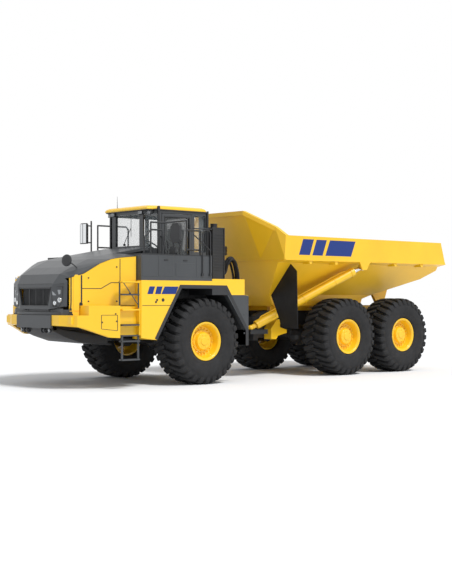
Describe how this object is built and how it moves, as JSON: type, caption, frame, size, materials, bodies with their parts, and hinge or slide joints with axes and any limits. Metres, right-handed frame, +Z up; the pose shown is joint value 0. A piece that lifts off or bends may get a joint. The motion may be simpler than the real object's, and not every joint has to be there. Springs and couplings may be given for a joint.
{
  "type": "articulated dump truck",
  "caption": "Articulated tipper: cab unit steering on an upright hitch, load body on a twisting rear chassis with walking-beam axles.",
  "frame": {"origin": "on the ground, on the centre line, at mid length", "axes": "+X forward, +Y to the left, +Z up"},
  "size_m": [11.145, 3.63, 4.05],
  "materials": {
    "tyre_rubber": "moulded lugged rubber",
    "yellow_paint": "semi-gloss yellow enamel",
    "window_glass": "clear tinted",
    "cylinder_chrome": "polished",
    "seat_fabric": "woven",
    "black_rubber": "matt",
    "black_plastic": "grained",
    "dark_grey_paint": "satin dark grey",
    "black_paint": "satin black"
  },
  "bodies": {
    "front_unit": {"front_frame": "black_paint", "front_axle": "black_paint", "engine_block": "black_paint", "bumper": "yellow_paint", "front_plate": "dark_grey_paint", "side_panel_left": "yellow_paint", "side_panel_right": "yellow_paint", "fender_left": "yellow_paint", "fender_right": "yellow_paint", "deck": "dark_grey_paint", "ladder_left": "dark_grey_paint", "ladder_right": "dark_grey_paint", "cab_shell": "dark_grey_paint", "cab_roof": "yellow_paint", "cab_glass": "window_glass", "seat": "seat_fabric", "dashboard": "black_plastic", "steering_wheel": "black_plastic", "exhaust_box": "dark_grey_paint", "air_cleaner": "dark_grey_paint", "handrail_left": "black_paint", "handrail_right": "black_paint", "mirror_left": "black_paint", "mirror_right": "black_paint", "hose_arch": "black_rubber"},
    "hood": {"hood": "dark_grey_paint", "grille": "black_paint"},
    "cab_door": {"cab_door": "dark_grey_paint", "door_glass": "window_glass"},
    "hitch": {"hitch": "black_paint"},
    "rear_unit": {"rear_frame": "black_paint", "middle_axle": "black_paint", "rear_axle": "black_paint", "bogie_beam_left": "black_paint", "bogie_beam_right": "black_paint", "rear_drive_shaft": "black_paint"},
    "dump_body": {"dump_body": "yellow_paint", "mudguard_left": "black_rubber", "mudguard_right": "black_rubber"},
    "wheel_front_left": {"tyre_front_left": "tyre_rubber", "rim_front_left": "yellow_paint"},
    "wheel_front_right": {"tyre_front_right": "tyre_rubber", "rim_front_right": "yellow_paint"},
    "wheel_middle_left": {"tyre_middle_left": "tyre_rubber", "rim_middle_left": "yellow_paint"},
    "wheel_middle_right": {"tyre_middle_right": "tyre_rubber", "rim_middle_right": "yellow_paint"},
    "wheel_rear_left": {"tyre_rear_left": "tyre_rubber", "rim_rear_left": "yellow_paint"},
    "wheel_rear_right": {"tyre_rear_right": "tyre_rubber", "rim_rear_right": "yellow_paint"},
    "hoist_barrel_left": {"hoist_barrel_left": "yellow_paint"},
    "hoist_rod_left": {"hoist_rod_left": "cylinder_chrome"},
    "steering_barrel_left": {"steering_barrel_left": "black_paint"},
    "steering_rod_left": {"steering_rod_left": "cylinder_chrome"},
    "hoist_barrel_right": {"hoist_barrel_right": "yellow_paint"},
    "hoist_rod_right": {"hoist_rod_right": "cylinder_chrome"},
    "steering_barrel_right": {"steering_barrel_right": "black_paint"},
    "steering_rod_right": {"steering_rod_right": "cylinder_chrome"}
  },
  "joints": [
    {"name": "roll_front_left", "type": "hinge", "parent": "front_unit", "child": "wheel_front_left", "pos_m": [2.4175, 1.3555, 0.9], "axis": [0, 1, 0], "continuous": true},
    {"name": "roll_front_right", "type": "hinge", "parent": "front_unit", "child": "wheel_front_right", "pos_m": [2.4175, -1.3555, 0.9], "axis": [0, 1, 0], "continuous": true},
    {"name": "roll_middle_left", "type": "hinge", "parent": "rear_unit", "child": "wheel_middle_left", "pos_m": [-1.9625, 1.3555, 0.9], "axis": [0, 1, 0], "continuous": true},
    {"name": "roll_middle_right", "type": "hinge", "parent": "rear_unit", "child": "wheel_middle_right", "pos_m": [-1.9625, -1.3555, 0.9], "axis": [0, 1, 0], "continuous": true},
    {"name": "roll_rear_left", "type": "hinge", "parent": "rear_unit", "child": "wheel_rear_left", "pos_m": [-3.9325, 1.3555, 0.9], "axis": [0, 1, 0], "continuous": true},
    {"name": "roll_rear_right", "type": "hinge", "parent": "rear_unit", "child": "wheel_rear_right", "pos_m": [-3.9325, -1.3555, 0.9], "axis": [0, 1, 0], "continuous": true},
    {"name": "articulation", "type": "hinge", "parent": "front_unit", "child": "hitch", "pos_m": [1.1175, 0, 1.05], "axis": [0, 0, -1], "range_deg": [-45, 45]},
    {"name": "oscillation", "type": "hinge", "parent": "hitch", "child": "rear_unit", "pos_m": [0.4175, 0, 1.05], "axis": [1, 0, 0], "range_deg": [-15, 15]},
    {"name": "body_tip", "type": "hinge", "parent": "rear_unit", "child": "dump_body", "pos_m": [-4.5325, 0, 1.6], "axis": [0, -1, 0], "range_deg": [0, 70]},
    {"name": "hood_lift", "type": "hinge", "parent": "front_unit", "child": "hood", "pos_m": [5.4775, 0, 1.6], "axis": [0, 1, 0], "range_deg": [0, 60]},
    {"name": "cab_door_swing", "type": "hinge", "parent": "front_unit", "child": "cab_door", "pos_m": [2.1135, 0.8543, 2.96], "axis": [0, 0, 1], "range_deg": [0, 65]},
    {"name": "hoist_swing_left", "type": "hinge", "parent": "rear_unit", "child": "hoist_barrel_left", "pos_m": [0.2875, 0.72, 1.12], "axis": [0.5027, 0.1872, 0.8439], "range_deg": [-0.5, 8.7]},
    {"name": "hoist_extend_left", "type": "slide", "parent": "hoist_barrel_left", "child": "hoist_rod_left", "axis": [-0.8492, 0.2893, 0.4417], "range_m": [-0.005, 2.574]},
    {"name": "steering_swing_left", "type": "hinge", "parent": "front_unit", "child": "steering_barrel_left", "pos_m": [2.1875, 0.69, 1.23], "axis": [0, 0, 1], "range_deg": [-1.27, 1.27]},
    {"name": "steering_extend_left", "type": "slide", "parent": "steering_barrel_left", "child": "steering_rod_left", "axis": [-0.9752, -0.2213, 0], "range_m": [-0.318, 0.318]},
    {"name": "hoist_swing_right", "type": "hinge", "parent": "rear_unit", "child": "hoist_barrel_right", "pos_m": [0.2875, -0.72, 1.12], "axis": [-0.5027, 0.1872, -0.8439], "range_deg": [-0.5, 8.7]},
    {"name": "hoist_extend_right", "type": "slide", "parent": "hoist_barrel_right", "child": "hoist_rod_right", "axis": [-0.8492, -0.2893, 0.4417], "range_m": [-0.005, 2.574]},
    {"name": "steering_swing_right", "type": "hinge", "parent": "front_unit", "child": "steering_barrel_right", "pos_m": [2.1875, -0.69, 1.23], "axis": [0, 0, 1], "range_deg": [-1.27, 1.27]},
    {"name": "steering_extend_right", "type": "slide", "parent": "steering_barrel_right", "child": "steering_rod_right", "axis": [-0.9752, 0.2213, 0], "range_m": [-0.318, 0.318]}
  ],
  "couplings": [
    {"joint": "hoist_swing_left", "follows": "body_tip", "ratio": 0.10999},
    {"joint": "hoist_extend_left", "follows": "body_tip", "m_per_rad": 2.099},
    {"joint": "steering_swing_left", "follows": "articulation", "ratio": 0.017116},
    {"joint": "steering_extend_left", "follows": "articulation", "m_per_rad": -0.39275},
    {"joint": "hoist_swing_right", "follows": "body_tip", "ratio": 0.10999},
    {"joint": "hoist_extend_right", "follows": "body_tip", "m_per_rad": 2.099},
    {"joint": "steering_swing_right", "follows": "articulation", "ratio": 0.017116},
    {"joint": "steering_extend_right", "follows": "articulation", "m_per_rad": 0.39275}
  ]
}
